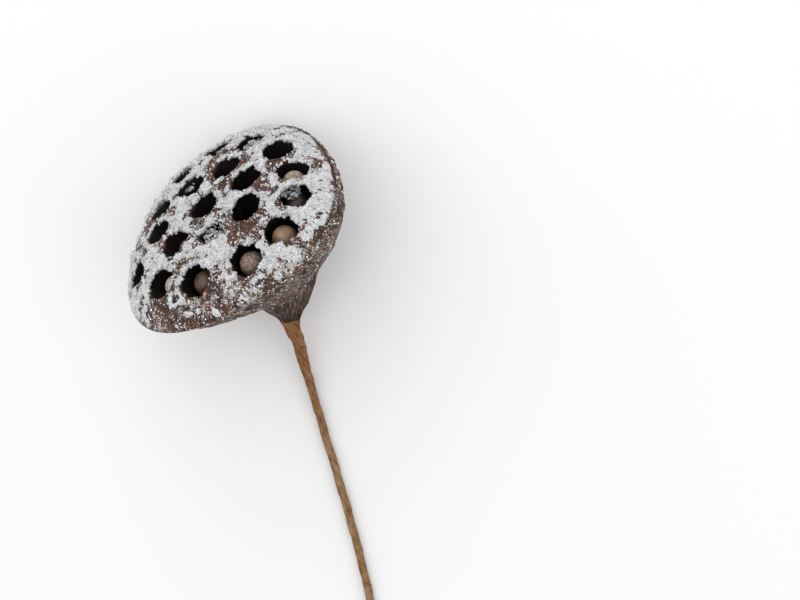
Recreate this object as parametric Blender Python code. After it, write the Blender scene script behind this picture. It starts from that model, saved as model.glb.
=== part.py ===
"""A dried lotus seed pod on a paper-wrapped wire stem, lying on its side. Metres, +Z up.

The pod is lofted in its own frame: the rim's centre is the origin, +Z is the way the face looks, and +Y is
the side that lies lowest. Heights and distances on it are fractions of the rim's radius.
"""

import math
import random

import bpy
import numpy as np
from mathutils import Matrix, Vector

# The pod and how it lies
RIM_RADIUS = 0.0415
RIM_CENTRE = (0.0003, 0.1267, 0.0336)
FACE_TILT = math.radians(56.0)
FACE_BEARING = math.radians(25.7)
DOME_HEIGHT = 0.25
NECK_RADIUS = 0.075
DOME_RINGS = 15
RIB_COUNT = 18
RIB_HEIGHT = 0.028
SIDE_BEARING = math.radians(13.7)

# Waves of the rim's outline: how many there are, how high, and the bearing of a crest in degrees
RIM_LOBES = ((1, 0.038, 176), (2, 0.010, 73), (3, 0.038, 76), (4, 0.007, 35))
RIM_LOSS = 0.027
RIM_DENT = 0.06

# Depths of the rings below the rim, with the number of points in each
FLANK_RINGS = (
    (0.03, 90), (0.07, 90), (0.12, 90), (0.18, 90), (0.25, 90), (0.33, 90), (0.41, 90), (0.50, 90),
    (0.59, 54), (0.68, 54), (0.77, 36), (0.85, 36), (0.91, 18), (0.96, 18), (1.0, 18),
)

# Mouths of the chambers: distance from the middle, bearing in degrees, and mouth radius in metres
CHAMBERS = (
    (0.10, 137, 0.0052),
    (0.32, 7, 0.0054), (0.35, -49, 0.0056), (0.30, -108, 0.0045), (0.41, -165, 0.0053), (0.41, 108, 0.0049),
    (0.38, 59, 0.0051),
    (0.66, 18, 0.0054), (0.69, -11, 0.0052), (0.74, -33, 0.0052), (0.77, -58, 0.0055), (0.72, -85, 0.0054),
    (0.69, -123, 0.0056), (0.73, -152, 0.0054), (0.82, 181, 0.0044), (0.54, 161, 0.0048), (0.61, 135, 0.0044),
    (0.68, 106, 0.0045), (0.69, 76, 0.0045), (0.65, 47, 0.0050),
)
CHAMBER_SIDES = 12
CHAMBER_BELLY = 0.96
MOST_OVAL = 0.05
CHAMBER_FOCUS = -1.05
EMPTY_CHAMBERS = (1, 2, 3, 6, 7, 8)

# A chamber from above its mouth to its floor: height in metres and share of the mouth's radius
CHAMBER_PROFILE = (
    (0.005, 1.06), (0.0002, 1.04), (-0.0015, 0.99), (-0.006, CHAMBER_BELLY), (-0.0085, 0.93), (-0.011, 0.84),
    (-0.0145, 0.60), (-0.0160, 0.25),
)

SEED_RADIUS = 0.0041
SEED_LENGTH = 0.0102
SEED_SIDES = 10
SEED_LEAN = 0.0003
SEED_GAP = 0.00025
LEAST_SUNK = 0.0018
MOST_SUNK = 0.0030

# The stem's middle line, from under the neck to the cut end, chosen by hand
STEM_ROUTE = (
    (0.0099, 0.0795, 0.0062), (0.0102, 0.0706, 0.0034), (0.0108, 0.0618, 0.0019), (0.0122, 0.0480, 0.00135),
    (0.0137, 0.0342, 0.0013), (0.0156, 0.0136, 0.0013), (0.0167, -0.0070, 0.0013), (0.0173, -0.0412, 0.0013),
    (0.0172, -0.0755, 0.0013), (0.0163, -0.1099, 0.0013), (0.0147, -0.1545, 0.0013),
)
WRAP_RADIUS = 0.0014
WRAP_NECK_EXTRA = 0.0024
WRAP_TAPER = 0.0065
WRAP_WALL = 0.00055
TAPE_PITCH = 0.014
TAPE_STEP = 0.00022
STUB_LENGTH = 0.006
BORE_RADIUS = 0.0008
WIRE_RADIUS = 0.0005
GAP = 0.0003


def clear_scene():
    for thing in list(bpy.data.objects):
        bpy.data.objects.remove(thing)


def material(name, colour, roughness, metallic=0.0):
    made = bpy.data.materials.new(name)
    made.use_nodes = True
    shader = made.node_tree.nodes["Principled BSDF"]
    shader.inputs["Base Color"].default_value = (*colour, 1.0)
    shader.inputs["Roughness"].default_value = roughness
    shader.inputs["Metallic"].default_value = metallic
    return made


def circle(count):
    return np.arange(count) * (2 * math.pi / count)


def stitched(first, second):
    """Triangles between two closed rings, each given as the numbers of its points."""
    i = j = 0
    faces = []
    while i < len(first) or j < len(second):
        a, b = first[i % len(first)], second[j % len(second)]
        if (i + 1) / len(first) <= (j + 1) / len(second):
            i += 1
            faces.append((a, b, first[i % len(first)]))
        else:
            j += 1
            faces.append((a, b, second[j % len(second)]))
    return faces


def lofted(name, rings, closed=False):
    """A mesh through the rings. A ring of one point closes an end, and closed joins the last ring to the first."""
    numbers = []
    start = 0
    for ring in rings:
        numbers.append(list(range(start, start + len(ring))))
        start += len(ring)
    faces = []
    pairs = list(zip(numbers, numbers[1:]))
    if closed:
        pairs.append((numbers[-1], numbers[0]))
    for first, second in pairs:
        if len(first) == 1:
            faces += [(first[0], a, b) for a, b in zip(second, second[1:] + second[:1])]
        elif len(second) == 1:
            faces += [(second[0], b, a) for a, b in zip(first, first[1:] + first[:1])]
        else:
            faces += stitched(first, second)
    mesh = bpy.data.meshes.new(name)
    mesh.from_pydata([tuple(point) for ring in rings for point in ring], [], faces)
    mesh.update()
    return mesh


def placed(name, mesh, finish, parent=None):
    thing = bpy.data.objects.new(name, mesh)
    bpy.context.collection.objects.link(thing)
    mesh.materials.clear()
    mesh.materials.append(finish)
    mesh.shade_smooth()
    mesh.set_sharp_from_angle(angle=math.radians(50))
    thing.parent = parent
    return thing


def outline(bearing, pressed=1.0):
    """The rim's distance from its middle: uneven all round, with a dent where it faces the surface."""
    off = (np.degrees(bearing) + 90) % 360 - 180
    lobes = sum(height * np.cos(count * (bearing - math.radians(crest))) for count, height, crest in RIM_LOBES)
    lobes = (lobes - RIM_LOSS) * (1 - np.exp(-((off / 40) ** 2)))
    return 1 + lobes - RIM_DENT * pressed * np.exp(-((off / 17) ** 2))


def on_face(far, turn):
    angle = math.radians(turn)
    return RIM_RADIUS * far * math.cos(angle), RIM_RADIUS * far * math.sin(angle)


def dome(distance):
    return DOME_HEIGHT * (1 - distance**4)


def flank_radius(depth):
    """A funnel with a lip at the rim, a groove under it and a blunt end that the neck comes out of."""
    lip = 0.014 * np.exp(-((depth / 0.03) ** 2)) - 0.012 * np.exp(-(((depth - 0.09) / 0.04) ** 2))
    blunt = 0.06 * np.exp(-(((depth - 0.84) / 0.13) ** 2))
    funnel = 0.3 * (1 - depth) + 0.35 * (1 + np.cos(math.pi * depth))
    return NECK_RADIUS + (1 - NECK_RADIUS) * funnel + lip + blunt


def side_shift(depth):
    """How far the flank leans out to one side, and back past the middle at the neck."""
    return depth * (0.58 - 0.95 * depth + 0.2 * depth**2)


def ribs(bearing, depth):
    """Narrow ridges down the flank, of uneven height, which fade at the rim and at the neck."""
    crest = np.abs(np.cos(RIB_COUNT * (bearing - math.pi / 2) / 2)) ** 3
    uneven = 0.7 + 0.3 * np.sin(5 * bearing + 1.3) * np.sin(3 * bearing)
    fade = math.sin(math.pi * min(1.0, depth / 0.95)) ** 0.7
    return RIB_HEIGHT * crest * uneven * fade


def pod_frame():
    frame = bpy.data.objects.new("pod_frame", None)
    bpy.context.collection.objects.link(frame)
    frame.location = RIM_CENTRE
    frame.rotation_euler = (-FACE_TILT, 0, FACE_BEARING)
    bpy.context.view_layer.update()
    return frame


def axis_point(depth):
    shift = side_shift(depth) * RIM_RADIUS
    return Vector((shift * math.cos(SIDE_BEARING), shift * math.sin(SIDE_BEARING), -depth * RIM_RADIUS))


def stem_line(frame):
    """The stem's middle line in the pod's frame: points, directions and the length run at each point."""
    inward = frame.matrix_world.inverted()
    lead = [axis_point(depth) for depth in (0.86, 0.93, 1.0)]
    knots = [np.array(point) for point in lead + [inward @ Vector(point) for point in STEM_ROUTE]]
    knots.append(2 * knots[-1] - knots[-2])
    points = []
    for before, start, end, after in zip(knots[1:], knots[2:], knots[3:], knots[4:]):
        for part in np.arange(12) / 12:
            points.append(catmull_rom(before, start, end, after, part))
    points.append(knots[-2])
    points = np.array(points)
    run = np.concatenate([[0], np.cumsum(np.linalg.norm(np.diff(points, axis=0), axis=1))])
    slope = np.gradient(points, run, axis=0)
    return points, slope / np.linalg.norm(slope, axis=1)[:, None], run


def catmull_rom(before, start, end, after, part):
    """A smooth curve from start to end, whose knots are spaced by the root of the distance between them."""
    steps = [0.0]
    for first, second in ((before, start), (start, end), (end, after)):
        steps.append(steps[-1] + math.sqrt(np.linalg.norm(second - first)))
    t = steps[1] + part * (steps[2] - steps[1])
    level = [before, start, end, after]
    for order in (1, 2):
        level = [
            (level[k] * (steps[k + order] - t) + level[k + 1] * (t - steps[k])) / (steps[k + order] - steps[k])
            for k in range(len(level) - 1)
        ]
    return (level[0] * (steps[2] - t) + level[1] * (t - steps[1])) / (steps[2] - steps[1])


def line_at(line, length):
    points, slopes, run = line
    point = Vector([np.interp(length, run, points[:, k]) for k in range(3)])
    slope = Vector([np.interp(length, run, slopes[:, k]) for k in range(3)])
    return point, slope.normalized()


def ring_across(point, slope, radii):
    """A ring round the middle line, turned from the pod's own plane to stand across the line's direction."""
    turn = Vector((0, 0, -1)).rotation_difference(slope)
    corners = circle(len(radii))
    return [
        point + turn @ Vector((radius * math.cos(corner), radius * math.sin(corner), 0))
        for radius, corner in zip(radii, corners)
    ]


def dome_height(x, y, distance):
    """The dome in metres above the rim, with a low swelling round each chamber's mouth."""
    from_mouth = min(math.dist((x, y), on_face(far, turn)) - mouth for far, turn, mouth in CHAMBERS)
    swelling = 0.0008 * math.exp(-(((from_mouth - 0.0007) / 0.0016) ** 2)) * (1 - distance**6)
    return RIM_RADIUS * dome(distance) + swelling


def face_rings():
    rings = [[Vector((0, 0, dome_height(0, 0, 0)))]]
    for step in range(1, DOME_RINGS + 1):
        distance = step / DOME_RINGS
        bearings = circle(6 * step)
        reach = RIM_RADIUS * distance * outline(bearings, distance**6)
        rings.append([
            Vector((r * math.cos(b), r * math.sin(b), dome_height(r * math.cos(b), r * math.sin(b), distance)))
            for r, b in zip(reach, bearings)
        ])
    return rings


def flank_rings(line):
    neck_slope = line_at(line, 0)[1]
    rings = []
    for depth, count in FLANK_RINGS:
        bearings = circle(count)
        round_neck = min(1.0, max(0.0, (depth - 0.5) / 0.5))
        shape = 1 + (outline(bearings) - 1) * (1 - round_neck)
        radii = RIM_RADIUS * flank_radius(depth) * shape * (1 + ribs(bearings, depth))
        slope = Vector((0, 0, -1)).lerp(neck_slope, round_neck**2).normalized()
        rings.append(ring_across(axis_point(depth), slope, radii))
    return rings


def wrap_outside(length):
    return WRAP_RADIUS + WRAP_NECK_EXTRA * math.exp(-length / WRAP_TAPER)


def stub_rings(line):
    """The pod's own short stalk, with a bore up its middle for the wire."""
    rings = []
    for length in np.linspace(0, STUB_LENGTH, 4):
        radius = wrap_outside(length) - WRAP_WALL - GAP
        rings.append(ring_across(*line_at(line, length), [radius] * 12))
    for length in (STUB_LENGTH, GAP * 3):
        rings.append(ring_across(*line_at(line, length), [BORE_RADIUS] * 8))
    rings.append([line_at(line, GAP * 3)[0]])
    return rings


def press_flat(mesh, frame):
    """What would lie under the surface is pressed flat onto it."""
    outward = frame.matrix_world if frame else Matrix.Identity(4)
    inward = outward.inverted()
    for vertex in mesh.vertices:
        point = outward @ vertex.co
        if point.z < 0:
            point.z = 0
            vertex.co = inward @ point


def chamber_frame(far, turn):
    """The mouth's middle on the dome, with +Z out of the chamber: the chambers all run in towards the neck."""
    mouth = Vector((*on_face(far, turn), RIM_RADIUS * dome(far)))
    outward = (mouth - Vector((0, 0, RIM_RADIUS * CHAMBER_FOCUS))).normalized()
    return Matrix.Translation(mouth) @ Vector((0, 0, 1)).rotation_difference(outward).to_matrix().to_4x4()


def chamber_cutter(number, far, turn, mouth, rng):
    """One chamber as a solid: straight above the mouth, then narrowing to a rounded floor."""
    oval, oval_at = rng.uniform(0.01, MOST_OVAL), rng.uniform(0, math.pi)
    corners = circle(CHAMBER_SIDES)
    rings = [[Vector((0, 0, CHAMBER_PROFILE[0][0]))]]
    for height, width in CHAMBER_PROFILE:
        radii = mouth * width * (1 + oval * np.cos(2 * (corners - oval_at)))
        rings.append([Vector((r * math.cos(c), r * math.sin(c), height)) for r, c in zip(radii, corners)])
    rings.append([Vector((0, 0, CHAMBER_PROFILE[-1][0]))])
    mesh = lofted(f"chamber_{number:02d}", rings)
    mesh.transform(chamber_frame(far, turn))
    return mesh


def cut_chambers(pod, frame):
    cutters = bpy.data.collections.new("chamber_cutters")
    bpy.context.scene.collection.children.link(cutters)
    rng = random.Random(7)
    for number, (far, turn, mouth) in enumerate(CHAMBERS, 1):
        cutter = bpy.data.objects.new(f"chamber_{number:02d}", chamber_cutter(number, far, turn, mouth, rng))
        cutters.objects.link(cutter)
        cutter.parent = frame
        cutter.hide_render = True
        cutter.display_type = "WIRE"
    cut = pod.modifiers.new("Chambers", "BOOLEAN")
    cut.operation = "DIFFERENCE"
    cut.operand_type = "COLLECTION"
    cut.collection = cutters
    cut.solver = "EXACT"


def make_pod(frame, line, finish):
    mesh = lofted("pod", face_rings() + flank_rings(line) + stub_rings(line))
    press_flat(mesh, frame)
    pod = placed("pod", mesh, finish, frame)
    cut_chambers(pod, frame)
    return pod


def seed_mesh():
    """A lotus seed: an egg with a small tip at its upper end, along +Z, its top at the origin."""
    rings = [[Vector((0, 0, 0))]]
    for turn in np.radians((28, 58, 90, 122, 152)):
        height = SEED_LENGTH / 2 * (math.cos(turn) - 1)
        radius = SEED_RADIUS * math.sin(turn) ** 0.85
        rings.append([Vector((radius * math.cos(c), radius * math.sin(c), height)) for c in circle(SEED_SIDES)])
    rings.append([Vector((0, 0, -SEED_LENGTH))])
    return lofted("seed", rings)


def make_seeds(frame, finish):
    """A loose seed in each chamber that holds one, leaning to the side that faced down as it dried."""
    rng = random.Random(19)
    shape = seed_mesh()
    for number, (far, turn, mouth) in enumerate(CHAMBERS, 1):
        room = mouth * CHAMBER_BELLY * (1 - MOST_OVAL) * math.cos(math.pi / CHAMBER_SIDES)
        size = (room - SEED_GAP - SEED_LEAN) / SEED_RADIUS
        sunk = rng.uniform(LEAST_SUNK, MOST_SUNK)
        if number in EMPTY_CHAMBERS:
            continue
        seed = placed(f"seed_{number:02d}", shape, finish, frame)
        lean = Matrix.Translation((0, -SEED_LEAN, -sunk))
        seed.matrix_local = chamber_frame(far, turn) @ lean @ Matrix.Scale(size, 4)


def tape_edge(length, corner):
    """The wound tape stands a little higher at its lower edge, which runs round as a helix."""
    return TAPE_STEP * ((length / TAPE_PITCH - corner / (2 * math.pi)) % 1.0)


def make_wrap(frame, line, finish):
    end = line[2][-1]
    corners = circle(10)
    rings = []
    for length in [GAP + 0.0015 * k for k in range(8)] + list(np.linspace(0.0135, end, 76)):
        radii = [wrap_outside(length) + tape_edge(length, corner) - TAPE_STEP for corner in corners]
        rings.append(ring_across(*line_at(line, length), radii))
    for length in list(np.linspace(end, STUB_LENGTH + 2 * GAP, 40)):
        rings.append(ring_across(*line_at(line, length), [BORE_RADIUS] * 8))
    for length in np.linspace(STUB_LENGTH + GAP, GAP, 4):
        rings.append(ring_across(*line_at(line, length), [wrap_outside(length) - WRAP_WALL] * 10))
    mesh = lofted("stem_wrap", rings, closed=True)
    mesh.transform(frame.matrix_world)
    press_flat(mesh, None)
    return placed("stem_wrap", mesh, finish)


def make_wire(frame, line, finish):
    end = line[2][-1]
    rings = [[line_at(line, GAP * 5)[0]]]
    for length in np.linspace(GAP * 5, end - GAP, 44):
        rings.append(ring_across(*line_at(line, length), [WIRE_RADIUS] * 6))
    rings.append([line_at(line, end - GAP)[0]])
    mesh = lofted("stem_wire", rings)
    mesh.transform(frame.matrix_world)
    return placed("stem_wire", mesh, finish)


def main():
    clear_scene()
    frame = pod_frame()
    line = stem_line(frame)
    make_pod(frame, line, material("dried_pod", (0.105, 0.052, 0.034), 0.8))
    make_seeds(frame, material("seed_coat", (0.26, 0.16, 0.09), 0.45))
    make_wrap(frame, line, material("paper_tape", (0.33, 0.19, 0.08), 0.75))
    make_wire(frame, line, material("stem_steel", (0.35, 0.34, 0.33), 0.4, 1.0))


main()
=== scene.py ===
# A dried lotus seed pod on a paper-wrapped wire stem, flocked with snow and glitter, lying on a pale floor.
import math
import random

import bpy
import numpy as np
from mathutils import Matrix, Vector


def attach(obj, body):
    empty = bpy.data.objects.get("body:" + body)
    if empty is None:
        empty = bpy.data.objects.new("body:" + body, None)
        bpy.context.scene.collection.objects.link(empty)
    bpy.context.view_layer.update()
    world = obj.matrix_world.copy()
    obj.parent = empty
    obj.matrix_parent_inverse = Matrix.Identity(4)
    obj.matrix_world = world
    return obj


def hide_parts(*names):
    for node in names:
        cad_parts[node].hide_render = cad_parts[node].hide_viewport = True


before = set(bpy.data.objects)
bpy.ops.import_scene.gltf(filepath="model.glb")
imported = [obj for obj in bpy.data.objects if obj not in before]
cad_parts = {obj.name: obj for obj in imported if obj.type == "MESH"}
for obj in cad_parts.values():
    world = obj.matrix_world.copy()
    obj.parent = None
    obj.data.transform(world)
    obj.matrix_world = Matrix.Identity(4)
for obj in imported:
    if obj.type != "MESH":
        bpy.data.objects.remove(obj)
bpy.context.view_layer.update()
print("frame loaded:", len(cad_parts), "nodes")

# The pod in its own frame: the rim's centre is the origin, +Z is the way the face looks, +Y is the low side.
# Heights and distances are shares of the rim's radius, angles are degrees, everything else is metres.
podShape = {
    "rimRadius": 0.0415,
    "rimCentre": (0.0003, 0.1267, 0.0336),
    "faceTilt": 56.0,
    "faceBearing": 25.7,
    "domeHeight": 0.25,
    "neckRadius": 0.075,
    "ribCount": 18,
    "ribHeight": 0.028,
    "sideBearing": 13.7,
    # how far the middle line leans towards sideBearing: depth * (first - second * depth + third * depth^2)
    "lean": (0.58, 0.95, 0.2),
    # waves of the outline: how many, how high, bearing of a crest
    "lobes": ((1, 0.038, 176), (2, 0.010, 73), (3, 0.038, 76), (4, 0.007, 35)),
    "lobeLoss": 0.027,
    "lobesEnd": 40,
    "dent": 0.06,
    "dentWidth": 17,
    "rimRound": 0.026,
    "rimRoundFrom": 0.92,
    "rimRoundOver": 0.08,
    "squaresAcross": 208,
    "flankSteps": (36, 24, 18),
    "flankDepths": (0.0, 0.42, 0.80, 1.0),
}

# Mouths of the chambers: distance from the middle, bearing, mouth radius
chambers = (
    (0.10, 137, 0.0052),
    (0.32, 7, 0.0054), (0.35, -49, 0.0056), (0.30, -108, 0.0045), (0.41, -165, 0.0053), (0.41, 108, 0.0049),
    (0.38, 59, 0.0051),
    (0.66, 18, 0.0054), (0.69, -11, 0.0052), (0.74, -33, 0.0052), (0.77, -58, 0.0055), (0.72, -85, 0.0054),
    (0.69, -123, 0.0056), (0.73, -152, 0.0054), (0.82, 181, 0.0044), (0.54, 161, 0.0048), (0.61, 135, 0.0044),
    (0.68, 106, 0.0045), (0.69, 76, 0.0045), (0.65, 47, 0.0050),
)
chamberShape = {
    "sides": 12,
    "belly": 0.96,
    "mostOval": 0.05,
    "focus": -1.05,
    "lipReach": 1.14,
    "snowedSide": 74.0,
    "ragged": 0.09,
    # share of the mouth's radius before the chamber opens, then the width and the drop that it gets
    "from": (0.0, 0.14, 0.28, 0.44, 0.56, 0.68, 0.88, 0.96, 1.0, 1.05, 1.14),
    "width": (0.0, 0.25, 0.60, 0.84, 0.93, 0.96, 0.99, 1.005, 1.03, 1.07, 1.14),
    "drop": (-0.0160, -0.0160, -0.0145, -0.0110, -0.0085, -0.0060, -0.0015, -0.0007, -0.0003, -0.00008, 0.0),
}

# Relief of the face in metres: the swelling round each mouth, hummocks as (height, cell, seed), the size of the
# ragged bites in a lip, and how far down a chamber is fully dark, which is partly the dark inner tissue and partly
# painted shade
faceRelief = {
    "swelling": 0.0008,
    "swellingOff": 0.0007,
    "swellingWide": 0.0016,
    "hummocks": ((0.00030, 0.0055, 11), (0.00014, 0.0018, 12)),
    "biteCell": 0.0021,
    "darkFrom": 0.004,
}

rimRadius = podShape["rimRadius"]
sideBearing = math.radians(podShape["sideBearing"])
podFrame = Matrix.Translation(podShape["rimCentre"]) @ (
    Matrix.Rotation(math.radians(podShape["faceBearing"]), 4, "Z")
    @ Matrix.Rotation(-math.radians(podShape["faceTilt"]), 4, "X")
)
podTurn = np.array(podFrame.to_3x3())
podPlace = np.array(podFrame.translation)


# From the pod's own frame to the world. Directions are only turned.
def toWorld(points):
    return points @ podTurn.T + podPlace


def turnToWorld(directions):
    return directions @ podTurn.T


noiseLattice = 32


# Value noise from -1 to 1: random numbers on a cubic lattice, joined by smooth steps.
def noiseAt(points, cell, seed):
    table = np.random.default_rng(seed).random((noiseLattice,) * 3) * 2 - 1
    place = points / cell
    low = np.floor(place).astype(int)
    part = place - low
    part = part * part * (3 - 2 * part)
    total = np.zeros(points.shape[:-1])
    for corner in range(8):
        bits = np.array([corner & 1, corner >> 1 & 1, corner >> 2 & 1])
        at = (low + bits) % noiseLattice
        weight = np.prod(np.where(bits == 1, part, 1 - part), axis=-1)
        total += weight * table[at[..., 0], at[..., 1], at[..., 2]]
    return total


# A base plus height * noise for each (height, cell, seed)
def layered(points, waves, base=0):
    return sum((height * noiseAt(points, cell, seed) for height, cell, seed in waves), base)


# 0 up to low, 1 from high on, and 3 p^2 - 2 p^3 of the share p between
def smoothStep(low, high, value):
    part = np.clip((value - low) / (high - low), 0, 1)
    return part * part * (3 - 2 * part)


# A bell curve: exp(-(value / width)^2)
def bump(value, width):
    return np.exp(-((value / width) ** 2))


# Each vector over its own length
def unit(vectors):
    return vectors / np.maximum(np.linalg.norm(vectors, axis=-1, keepdims=True), 1e-12)


# Points at a reach and an angle round the Z axis, at a height
def aroundZ(reach, angle, height=0.0):
    return np.stack([reach * np.cos(angle), reach * np.sin(angle), height + 0 * angle], axis=-1)


# The rim's distance from its middle: 1, plus the lobes, less a dent at the bearing that faces the floor.
def outline(bearing, pressed):
    off = (np.degrees(bearing) + 90) % 360 - 180
    waves = (height * np.cos(count * (bearing - math.radians(crest))) for count, height, crest in podShape["lobes"])
    lobes = (sum(waves) - podShape["lobeLoss"]) * (1 - bump(off, podShape["lobesEnd"]))
    return 1 + lobes - podShape["dent"] * pressed * bump(off, podShape["dentWidth"])


# A place in the face's plane, in metres, from its share of the rim's radius and its bearing in degrees
def onFace(far, turn):
    angle = math.radians(turn)
    return rimRadius * far * math.cos(angle), rimRadius * far * math.sin(angle)


# The dome's height: domeHeight * (1 - distance^4)
def domeRise(distance):
    return podShape["domeHeight"] * (1 - distance**4)


# A frame for each chamber: its mouth's middle on the dome, and +Z along the line from the common focus.
def chamberFrames():
    frames = []
    for far, turn, _ in chambers:
        mouth = Vector((*onFace(far, turn), rimRadius * domeRise(far)))
        outward = (mouth - Vector((0, 0, rimRadius * chamberShape["focus"]))).normalized()
        turned = Vector((0, 0, 1)).rotation_difference(outward).to_matrix().to_4x4()
        frames.append(Matrix.Translation(mouth) @ turned)
    return frames


mouthFrames = chamberFrames()
ovalDraws = random.Random(7)
ovals = [(ovalDraws.uniform(0.01, chamberShape["mostOval"]), ovalDraws.uniform(0, math.pi)) for _ in chambers]


# How far a point is from the nearest mouth's edge, and the direction in the face's plane from it to the middle
# of that mouth
def mouthGap(x, y):
    places = np.array([onFace(far, turn) for far, turn, _ in chambers])
    away = np.stack([x, y], axis=-1)[..., None, :] - places
    lengths = np.linalg.norm(away, axis=-1)
    gaps = lengths - np.array([mouth for _, _, mouth in chambers])
    nearest = np.argmin(gaps, axis=-1)[..., None]
    toward = -away / np.maximum(lengths, 1e-9)[..., None]
    return np.take_along_axis(gaps, nearest, -1)[..., 0], np.take_along_axis(toward, nearest[..., None], -2)[..., 0, :]


# The face: a disc of the outline, raised by domeRise, with a low swelling round each mouth, hummocks and a rounded
# rim. Points over a chamber are carried down its wall, by their share of the mouth's radius.
def faceAt(distance, bearing):
    reach = rimRadius * distance * outline(bearing, distance**6)
    x, y = reach * np.cos(bearing), reach * np.sin(bearing)
    gap, toward = mouthGap(x, y)
    swelling = faceRelief["swelling"] * bump(gap - faceRelief["swellingOff"], faceRelief["swellingWide"])
    z = rimRadius * domeRise(distance) + swelling * (1 - distance**6)
    overRim = np.clip((distance - podShape["rimRoundFrom"]) / podShape["rimRoundOver"], 0, 1)
    z = z - rimRadius * podShape["rimRound"] * overRim**3
    z = z + (1 - distance**8) * layered(np.stack([x, y, z], axis=-1), faceRelief["hummocks"])
    points = np.stack([x, y, z], axis=-1)
    cave = np.zeros(x.shape)
    opened = points.copy()
    for (_, _, mouth), mouthFrame, (oval, ovalAt) in zip(chambers, mouthFrames, ovals):
        turn = np.array(mouthFrame.to_3x3())
        centre = np.array(mouthFrame.translation)
        local = (points - centre) @ turn
        angle = np.arctan2(local[..., 1], local[..., 0])
        lip = mouth * (1 + oval * np.cos(2 * (angle - ovalAt)))
        away = np.hypot(local[..., 0], local[..., 1])
        ragged = chamberShape["ragged"] * smoothStep(0.5, 0.9, away / lip)
        lipEdge = aroundZ(lip, angle) + centre * (1, 1, 0)
        lip = lip * (1 + ragged * noiseAt(lipEdge, faceRelief["biteCell"], 13))
        share = away / lip
        width = np.interp(share, chamberShape["from"], chamberShape["width"]) * lip
        drop = np.interp(share, chamberShape["from"], chamberShape["drop"])
        moved = aroundZ(width, angle, local[..., 2] + drop)
        inside = share < chamberShape["lipReach"]
        opened = np.where(inside[..., None], moved @ turn.T + centre, opened)
        cave = np.where(inside, np.clip(-drop / faceRelief["darkFrom"], 0, 1), cave)
    return opened, gap, toward, cave


# The flank's section is a straight and a cosine share of a funnel, with a lip, a groove and a blunt end as
# (height, depth, width). Its relief is noise as (height, cell, seed), where dents and creases are squeezed
# lengthwise first, by the value before their cell.
flankShape = {
    "straight": 0.3,
    "curved": 0.35,
    "swellings": ((0.006, 0.0, 0.05), (-0.008, 0.10, 0.04), (0.06, 0.84, 0.13)),
    "roundFrom": 0.5,
    "grainLength": 0.35,
    "fibreHeight": 0.00030,
    "fibres": ((1.0, 0.055, 21), (0.7, 0.026, 22)),
    "dent": (0.0004, 3, 0.30, 23),
    "creaseHeight": 0.0011,
    "creases": ((1.0, 1.6, 0.17, 24), (0.5, 2.2, 0.08, 25)),
}


# The flank's radius down to the neck: the funnel, with the lip and the groove fading in just under the rim
def flankRadius(depth):
    lip, groove, blunt = (height * bump(depth - at, width) for height, at, width in flankShape["swellings"])
    funnel = flankShape["straight"] * (1 - depth) + flankShape["curved"] * (1 + np.cos(math.pi * depth))
    neck = podShape["neckRadius"]
    return neck + (1 - neck) * funnel + (lip + groove) * smoothStep(-0.001, 0.02, depth) + blunt


# Ribs: |cos(ribCount / 2 * bearing)|^3, uneven by two slow waves, fading out at the rim and at the neck
def ribsAt(bearing, depth):
    crest = np.abs(np.cos(podShape["ribCount"] * (bearing - math.pi / 2) / 2)) ** 3
    uneven = 0.7 + 0.3 * np.sin(5 * bearing + 1.3) * np.sin(3 * bearing)
    fade = np.sin(math.pi * np.minimum(1.0, depth / 0.95)) ** 0.7
    return podShape["ribHeight"] * crest * uneven * fade


# The flank's middle line, straight down but for its lean
def axisPoint(depth):
    first, second, third = podShape["lean"]
    shift = rimRadius * depth * (first - second * depth + third * depth**2)
    return np.stack([shift * math.cos(sideBearing), shift * math.sin(sideBearing), -depth * rimRadius], axis=-1)


# Turns a flat ring's points from the plane across -Z to the plane across slope: v + w x v + w x (w x v) / (1 + c).
def turnFromDown(points, slope):
    down = np.array([0.0, 0.0, -1.0])
    axis = np.cross(np.broadcast_to(down, slope.shape), slope)
    cosine = slope @ down
    once = np.cross(np.broadcast_to(axis, points.shape), points)
    twice = np.cross(np.broadcast_to(axis, points.shape), once)
    return points + once + twice / (1 + cosine[..., None])


# The stem's middle line, from under the neck to the cut end
stemShape = {
    "route": (
        (0.0099, 0.0795, 0.0062), (0.0102, 0.0706, 0.0034), (0.0108, 0.0618, 0.0019), (0.0122, 0.0480, 0.00135),
        (0.0137, 0.0342, 0.0013), (0.0156, 0.0136, 0.0013), (0.0167, -0.0070, 0.0013), (0.0173, -0.0412, 0.0013),
        (0.0172, -0.0755, 0.0013), (0.0163, -0.1099, 0.0013), (0.0147, -0.1545, 0.0013),
    ),
    "wrapRadius": 0.0014,
    "neckExtra": 0.0024,
    "taper": 0.0065,
    "wall": 0.00055,
    "stub": 0.006,
    "bore": 0.0008,
    "gap": 0.0003,
}


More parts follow.
